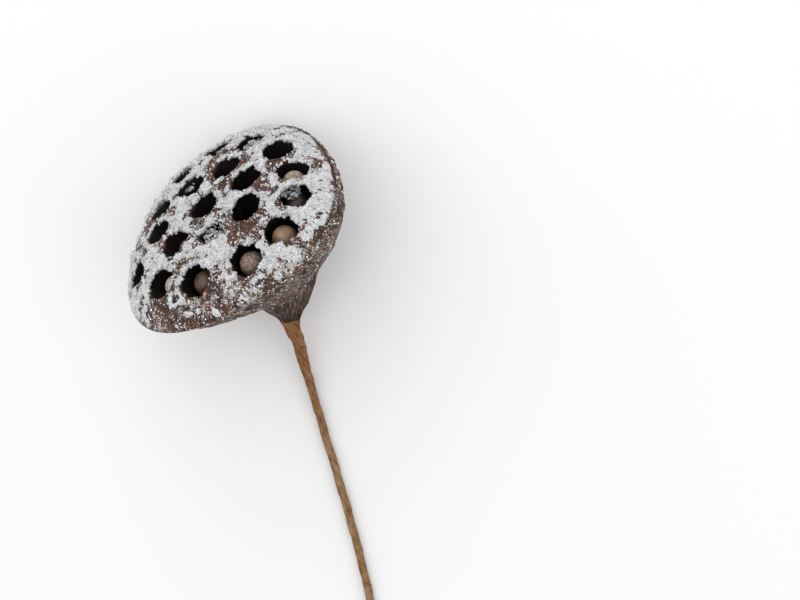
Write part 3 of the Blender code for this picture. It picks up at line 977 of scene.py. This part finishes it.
# The tape: a tube round the stem's line, whose radius steps down along a helix at each overlap, with crumpled
# folds near the neck and fine ones further on. Noise is (height, cell, seed).
tapeShape = {
    "sides": 56,
    "rings": 820,
    "pitch": 0.014,
    "grainPitch": 0.045,
    "grainLength": 0.012,
    "step": 0.00022,
    "bulge": 0.00035,
    "bulgeAt": 0.014,
    "bulgeWide": 0.009,
    "neckFolds": 0.00055,
    "stemFolds": 0.00014,
    "foldsReach": 0.014,
    "foldNoise": ((1.0, 0.42, 51), (0.5, 0.20, 52)),
    "lifted": 2.5,
    "liftedReach": 0.05,
    "boreRings": 60,
    "neckRings": 5,
}


# How far through its turn of the tape a place is, from one seam at 0 to the next at 1
def tapePart(length, corner):
    turns = length / tapeShape["pitch"] - corner / (2 * math.pi)
    return turns - np.floor(turns)


def makeTape():
    gap, stub, bore = stemShape["gap"], stemShape["stub"], stemShape["bore"]
    lengths = gap + (stemLength - gap) * np.linspace(0, 1, tapeShape["rings"]) ** 1.15
    corner = np.arange(tapeShape["sides"]) * 2 * math.pi / tapeShape["sides"]
    length, angle = np.meshgrid(lengths, corner, indexing="ij")
    part = tapePart(length, angle)
    strand = angle - 2 * math.pi * length / tapeShape["grainPitch"]
    flow = aroundZ(1.0, strand, length / tapeShape["grainLength"])
    folds = tapeShape["stemFolds"] + tapeShape["neckFolds"] * np.exp(-length / tapeShape["foldsReach"])
    relief = folds * layered(flow, tapeShape["foldNoise"])
    loose = np.clip(noiseAt(flow * (1, 1, 0.5), 0.9, 53), 0, 1) * smoothStep(0.55, 1.0, part)
    loose = loose * np.exp(-length / tapeShape["liftedReach"])
    step = tapeShape["step"] * ((part - 1) * smoothStep(0.0, 0.08, part) + tapeShape["lifted"] * loose)
    bulge = tapeShape["bulge"] * bump(length - tapeShape["bulgeAt"], tapeShape["bulgeWide"])
    outside = ringOnLine(length, wrapOutside(length) + step + relief * 0.8 + bulge, angle)
    seam = bump(np.minimum(part, 1 - part), 0.05)
    numbers = np.arange(part.size).reshape(part.shape)
    faces = [ringFaces(first, second) for first, second in zip(numbers, numbers[1:])]
    # back through the bore, and round the stub at the neck
    inside = [(value, bore) for value in np.linspace(stemLength, stub + 2 * gap, tapeShape["boreRings"])]
    inside += [
        (value, float(wrapOutside(value)) - stemShape["wall"])
        for value in np.linspace(stub + gap, gap, tapeShape["neckRings"])
    ]
    rings = [ringOnLine(value, radius, corner) for value, radius in inside]
    inner, last = chainFaces(rings, numbers[-1], part.size)
    faces = np.concatenate(faces + inner + [ringFaces(last, numbers[0])])
    points = toWorld(np.concatenate([outside.reshape(-1, 3)] + rings))
    points[:, 2] = np.maximum(points[:, 2], 0)
    values = {
        "flow": padded([flow.reshape(-1, 3)], len(points)),
        "seam": padded([seam.ravel()], len(points)),
        "far": padded([smoothStep(0.008, 0.050, length).ravel()], len(points)),
    }
    tape = makePiece("wound_tape", points, faces, tapePaper, values)
    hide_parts("stem_wrap")
    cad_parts["stem_wire"].data.materials.clear()
    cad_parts["stem_wire"].data.materials.append(wireMaterial())
    print("tape made:", len(tape.data.polygons), "triangles")


slopeStep = 0.002  # how far along a surface its slopes are taken
floorGap = 0.0006  # no grain or flake lies lower than this


# Points strewn evenly over the face's disc, set on its snow
def strewnOnFace(draws, count):
    return settledOnFace(np.sqrt(draws.random(count)) * 0.998, draws.random(count) * 2 * math.pi)


# The snow's surface at places on the face, and the outward direction there, across the face's two slopes
def settledOnFace(distance, bearing):
    points, gap, toward, cave = faceAt(distance, bearing)
    outer = points - faceAt(distance - slopeStep, bearing)[0]
    around = faceAt(distance, bearing + slopeStep / np.maximum(distance, 0.05))[0] - points
    normals = unit(np.cross(outer, around))
    thick = snowThickness(points, distance, bearing, gap, toward, cave)
    return snowTop(points, normals, np.maximum(thick, 0), gap, toward), normals, thick, cave


# The distance and bearing of a place on the face, in metres from its middle, by a few steps towards the outline
def discPlace(x, y):
    bearing, reach = np.arctan2(y, x), np.hypot(x, y) / rimRadius
    distance = reach
    for _ in range(4):
        distance = reach / outline(bearing, np.minimum(distance, 1) ** 6)
    return np.minimum(distance, 0.998), bearing


# Points strewn over the flank, most near the rim, with the directions outward and down it
def strewnOnFlank(draws, count):
    depth = draws.random(count) ** 1.5 * 0.95
    bearing = draws.random(count) * 2 * math.pi
    points = flankAt(depth, bearing)
    lower = unit(flankAt(depth + slopeStep, bearing) - points)
    around = flankAt(depth, bearing + slopeStep) - points
    return points, unit(np.cross(lower, around)), lower, depth, bearing


# A piece of many copies of a small shape, each jittered, turned, sized and set on its point
def makeCopies(name, finish, shape, faces, points, turns, sizes, jitter=None, values=None):
    corners = np.broadcast_to(shape, (len(points), len(shape), 3))
    if jitter is not None:
        corners = corners * jitter[..., None]
    placed = np.einsum("nij,nkj->nki", turns, corners) * sizes[:, None, None] + points[:, None, :]
    numbers = faces[None] + (np.arange(len(points)) * len(shape))[:, None, None]
    piece = makePiece(name, placed.reshape(-1, 3), numbers.reshape(-1, 3), finish, values=values)
    print(name, "made:", len(piece.data.polygons), "triangles")
    return piece


# Turns from random unit quaternions
def randomTurns(draws, count):
    q = unit(draws.normal(size=(count, 4)))
    w, x, y, z = q.T
    return np.stack([
        np.stack([1 - 2 * (y * y + z * z), 2 * (x * y - z * w), 2 * (x * z + y * w)], axis=-1),
        np.stack([2 * (x * y + z * w), 1 - 2 * (x * x + z * z), 2 * (y * z - x * w)], axis=-1),
        np.stack([2 * (x * z - y * w), 2 * (y * z + x * w), 1 - 2 * (x * x + y * y)], axis=-1),
    ], axis=1)


# Turns that carry +Z to each direction, after a random turn about +Z
def turnsTo(directions, draws):
    spin = draws.random(len(directions)) * 2 * math.pi
    helper = np.where(np.abs(directions[:, :1]) < 0.8, np.array([[1.0, 0, 0]]), np.array([[0, 1.0, 0]]))
    side = unit(np.cross(directions, helper))
    up = np.cross(directions, side)
    first = side * np.cos(spin)[:, None] + up * np.sin(spin)[:, None]
    second = np.cross(directions, first)
    return np.stack([first, second, directions], axis=-1)


# Twenty triangles on the corners of three golden rectangles
def icosahedron():
    golden = (1 + math.sqrt(5)) / 2
    points = unit(np.array([
        (-1, golden, 0), (1, golden, 0), (-1, -golden, 0), (1, -golden, 0), (0, -1, golden), (0, 1, golden),
        (0, -1, -golden), (0, 1, -golden), (golden, 0, -1), (golden, 0, 1), (-golden, 0, -1), (-golden, 0, 1),
    ], dtype=float))
    faces = np.array([
        (0, 11, 5), (0, 5, 1), (0, 1, 7), (0, 7, 10), (0, 10, 11), (1, 5, 9), (5, 11, 4), (11, 10, 2), (10, 7, 6),
        (7, 1, 8), (3, 9, 4), (3, 4, 2), (3, 2, 6), (3, 6, 8), (3, 8, 9), (4, 9, 5), (2, 4, 11), (6, 2, 10),
        (8, 6, 7), (9, 8, 1),
    ])
    return points, faces


# Each edge's middle becomes a point, and each triangle four.
def subdivided(points, faces):
    pairs = np.sort(faces[:, [0, 1, 1, 2, 2, 0]].reshape(-1, 2), axis=1)
    edges, which = np.unique(pairs, axis=0, return_inverse=True)
    first, second, third = faces.T
    ahead, across, back = which.reshape(-1, 3).T + len(points)
    corners = [(first, ahead, back), (ahead, second, across), (back, across, third), (ahead, across, back)]
    return (
        np.concatenate([points, unit(points[edges].sum(axis=1))]),
        np.concatenate([np.stack(corner, axis=-1) for corner in corners]),
    )


# Lumps of snow: round the mouths, most on their snowed side, heaped in the chambers that are snowed in, and loose.
lumpShape = {
    "onLip": 40,
    "lipSpread": 1.25,
    "lipBand": 0.0016,
    "loose": 700,
    "radius": (0.00022, 0.00056),
    "heapSize": 1.6,
    "chip": (1.15, 0.90, 0.62),
    "jitter": (0.78, 0.44),
    # chamber, number of lumps, depth of the heap's top below the mouth, its place and reach in the mouth, its grey of
    # painted shade
    "heaps": (
        (4, 66, 0.0007, (0.0, 0.0), 0.95, 0.35), (10, 72, 0.0008, (-0.22, 0.42), 0.56, 0.75),
        (20, 48, 0.0007, (0.1, -0.1), 0.75, 0.40), (6, 22, 0.0006, (-0.3, 0.55), 0.45, 0.45),
        (19, 20, 0.0009, (0.2, 0.4), 0.55, 0.45),
    ),
}


# Centres and sizes of the lumps round one mouth, larger and further over the mouth on its snowed side
def lipLumps(draws, far, turn, mouth):
    least, most = lumpShape["radius"]
    snowed = math.radians(chamberShape["snowedSide"])
    angle = snowed + draws.normal(size=lumpShape["onLip"]) * lumpShape["lipSpread"]
    toSnow = 0.5 + 0.5 * np.cos(angle - snowed)
    size = least + (most - least) * draws.random(len(angle)) ** 1.6 * (0.35 + 0.65 * toSnow)
    reach = mouth * 1.03 + lumpShape["lipBand"] * draws.random(len(angle))
    centre = onFace(far, turn)
    place = discPlace(centre[0] + reach * np.cos(angle), centre[1] + reach * np.sin(angle))
    top, _, _, cave = settledOnFace(*place)
    kept = cave < 0.1
    return (top - aroundZ(1.0, angle) * (size * 0.6 * toSnow)[:, None])[kept], size[kept], 0 * size[kept]


# Centres, sizes and greys of painted shade of the lumps of one heap, highest towards its outside
def heapLumps(draws, number, count, depth, middle, reach, shade):
    least, most = lumpShape["radius"]
    mouth, mouthFrame = chambers[number - 1][2], mouthFrames[number - 1]
    angle, far = draws.random(count) * 2 * math.pi, np.sqrt(draws.random(count)) * reach
    size = least + (most - least) * lumpShape["heapSize"] * draws.random(count)
    height = -depth * (1.3 - 0.5 * far) - size * draws.random(count)
    x, y = mouth * (far * np.cos(angle) + middle[0]), mouth * (far * np.sin(angle) + middle[1])
    local = np.stack([x, y, height], axis=-1)
    places = local @ np.array(mouthFrame.to_3x3()).T + np.array(mouthFrame.translation)
    return places, size, np.clip(shade + 0.2 * draws.normal(size=count), 0, 1)


# Centres and sizes of the loose lumps, where snow lies
def looseLumps(draws):
    least, most = lumpShape["radius"]
    count = lumpShape["loose"]
    points, normals, thick, cave = strewnOnFace(draws, count * 4)
    kept = (cave < 0.05) & (thick > 0.0001)
    size = least + (most - least) * draws.random(np.sum(kept)) ** 1.5
    return (points[kept] + normals[kept] * (size * 0.2)[:, None])[:count], size[:count], 0 * size[:count]


def makeLumps():
    shape, faces = subdivided(*icosahedron())
    draws = np.random.default_rng(81)
    groups = [lipLumps(draws, *chamber) for chamber in chambers]
    groups += [heapLumps(draws, *heap) for heap in lumpShape["heaps"]]
    groups.append(looseLumps(draws))
    places, sizes, shades = (np.concatenate(part) for part in zip(*groups))
    least, spread = lumpShape["jitter"]
    jitter = least + spread * draws.random((len(places), len(shape)))
    turns = randomTurns(draws, len(places))
    chip, values = shape * lumpShape["chip"], {"shade": np.repeat(shades, len(shape))}
    makeCopies("snow_lumps", snowFinish, chip, faces, toWorld(places), turns, sizes, jitter, values)


# Grains of flock: chips lying any way on the face, and strokes along the flank's fibres. A size is least, plus
# spread times a random number to the power skew.
grainShape = {
    "onFace": 9200,
    "onFlank": 2200,
    "least": 0.00012,
    "spread": 0.00020,
    "skew": 2.2,
    "chip": (1.2, 0.9, 0.6),
    "stroke": (1.8, 0.8, 0.55),
}


def grainSizes(draws, count):
    return grainShape["least"] + grainShape["spread"] * draws.random(count) ** grainShape["skew"]


# Grains where the face has snow, and a few on the bare tissue
def makeFaceGrains(draws):
    count = grainShape["onFace"]
    shape, faces = icosahedron()
    points, normals, thick, cave = strewnOnFace(draws, count * 3)
    kept = (cave < 0.10) & (thick > -0.0005 * draws.random(len(points)) ** 3)
    points, normals = points[kept][:count], normals[kept][:count]
    sizes = grainSizes(draws, len(points))
    points = points + normals * (sizes * 0.2)[:, None]
    jitter = 0.65 + 0.7 * draws.random((len(points), len(shape)))
    turns = randomTurns(draws, len(points))
    chip = shape * grainShape["chip"]
    makeCopies("snow_grains_face", grainFinish, chip, faces, toWorld(points), turns, sizes, jitter)


# Grains where the flank has frost, sunk in and lying along its fibres
def makeFlankGrains(draws):
    count = grainShape["onFlank"]
    shape, faces = icosahedron()
    points, normals, lengthwise, depth, bearing = strewnOnFlank(draws, count * 4)
    kept = draws.random(len(points)) < flankFrost(points, depth, bearing) ** 1.3
    points, normals, lengthwise = (part[kept][:count] for part in (points, normals, lengthwise))
    sizes = grainSizes(draws, len(points))
    centres = toWorld(points + normals * (sizes * 0.1)[:, None])
    across = turnToWorld(np.cross(normals, lengthwise))
    turns = np.stack([turnToWorld(lengthwise), across, turnToWorld(normals)], axis=-1)
    clear = centres[:, 2] > floorGap
    centres, sizes, turns = centres[clear], sizes[clear], turns[clear]
    jitter = 0.6 + 0.8 * draws.random((len(centres), len(shape)))
    makeCopies("snow_grains_flank", flankGrainFinish, shape * grainShape["stroke"], faces, centres, turns, sizes, jitter)


# A glitter flake: a thin hexagon, raised a little to a point on each side so that it is closed. It lies just off
# the surface, tilted at random.
flakeShape = {
    "onFace": 1200,
    "onFlank": 1500,
    "fewerDown": 1.3,
    "radius": (0.00012, 0.00032),
    "thickness": 0.10,
    "lift": 0.00010,
    "tilt": 0.72,
}


def makeGlitter():
    angle = np.arange(6) * math.pi / 3
    shape = np.concatenate([aroundZ(1.0, angle), [[0, 0, flakeShape["thickness"]], [0, 0, -flakeShape["thickness"]]]])
    ring = np.arange(6)
    faces = np.concatenate([fanFaces(ring, 6)[:, ::-1], fanFaces(ring, 7)])
    draws = np.random.default_rng(71)
    count = flakeShape["onFace"]
    points, normals, _, cave = strewnOnFace(draws, count * 2)
    kept = cave < 0.15
    flankPoints, flankNormals, _, depth, _ = strewnOnFlank(draws, flakeShape["onFlank"])
    stay = draws.random(len(depth)) > flakeShape["fewerDown"] * depth
    points = np.concatenate([points[kept][:count], flankPoints[stay]])
    normals = np.concatenate([normals[kept][:count], flankNormals[stay]])
    centres = toWorld(points + normals * flakeShape["lift"])
    clear = centres[:, 2] > floorGap
    centres, normals = centres[clear], normals[clear]
    facing = unit(turnToWorld(normals) + flakeShape["tilt"] * draws.normal(size=normals.shape))
    least, most = flakeShape["radius"]
    sizes = least + (most - least) * draws.random(len(centres))
    flakes = makeCopies("glitter_flakes", glitterFinish, shape, faces, centres, turnsTo(facing, draws), sizes)
    flakes.data.shade_flat()


makePod()
makeSeeds()
makeTape()
makeCrust()
makeLumps()
grainDraws = np.random.default_rng(61)
makeFaceGrains(grainDraws)
makeFlankGrains(grainDraws)
makeGlitter()


# Plain pale floor, a large soft light from the picture's upper left, weaker ones from its right and from beyond
# its top, and a pale sky.
stageShape = {
    "floorRadius": 4.0,
    "floorSides": 96,
    "floorDrop": 0.00001,
    "floorColour": (0.91, 0.91, 0.91),
    "sky": 0.79,
    "aim": (0.0, 0.12, 0.02),
    "lights": (
        # name, place, size, watts
        ("key_softbox", (-0.55, 0.75, 1.15), 1.8, 7.0),
        ("fill_softbox", (0.95, -0.25, 0.9), 1.0, 2.5),
        ("back_softbox", (0.1, 1.3, 0.5), 0.8, 2.0),
    ),
}


# A flat disc just under the part
def makeFloor():
    sides = stageShape["floorSides"]
    angle = np.arange(sides) * 2 * math.pi / sides
    points = aroundZ(stageShape["floorRadius"], angle, -stageShape["floorDrop"])
    mesh = bpy.data.meshes.new("floor")
    mesh.from_pydata(points.tolist(), [], [list(range(sides))])
    make = Recipe("floor_paper", {"Roughness": 0.9, "Base Color": stageShape["floorColour"]})
    mesh.materials.append(make.material)
    floor = bpy.data.objects.new("floor", mesh)
    bpy.context.scene.collection.objects.link(floor)


# Square soft lights, turned to aim, and a plain white world
def makeLights():
    target = Vector(stageShape["aim"])
    for name, place, size, watts in stageShape["lights"]:
        lamp = bpy.data.lights.new(name, "AREA")
        lamp.shape, lamp.size, lamp.energy = "SQUARE", size, watts
        thing = bpy.data.objects.new(name, lamp)
        thing.location = place
        thing.rotation_euler = (target - Vector(place)).to_track_quat("-Z", "Y").to_euler()
        bpy.context.scene.collection.objects.link(thing)
    world = bpy.data.worlds.new("pale_sky")
    world.use_nodes = True
    background = world.node_tree.nodes["Background"].inputs
    background["Color"].default_value = (1.0, 1.0, 1.0, 1.0)
    background["Strength"].default_value = stageShape["sky"]
    bpy.context.scene.world = world
    bpy.context.scene.view_settings.view_transform = "Standard"


# The photograph's view of the pod: the stem runs down the picture, so the camera looks down on the lying part.
cameraView = {
    "place": (0.255271, 0.275042, 1.503709),
    "right": (0.97709, -0.17908, -0.11503),
    "up": (0.16209, 0.97634, -0.14312),
    "back": (0.13794, 0.12119, 0.98300),
    "lens": 210.63,
    "sensor": 36.0,
}


def makeCamera():
    data = bpy.data.cameras.new("camera")
    data.sensor_width = cameraView["sensor"]
    data.lens = cameraView["lens"]
    camera = bpy.data.objects.new("camera", data)
    columns = Matrix((cameraView["right"], cameraView["up"], cameraView["back"])).transposed().to_4x4()
    camera.matrix_world = Matrix.Translation(cameraView["place"]) @ columns
    bpy.context.scene.collection.objects.link(camera)
    bpy.context.scene.camera = camera


makeFloor()
makeLights()
makeCamera()
print("stage, lights and camera made")
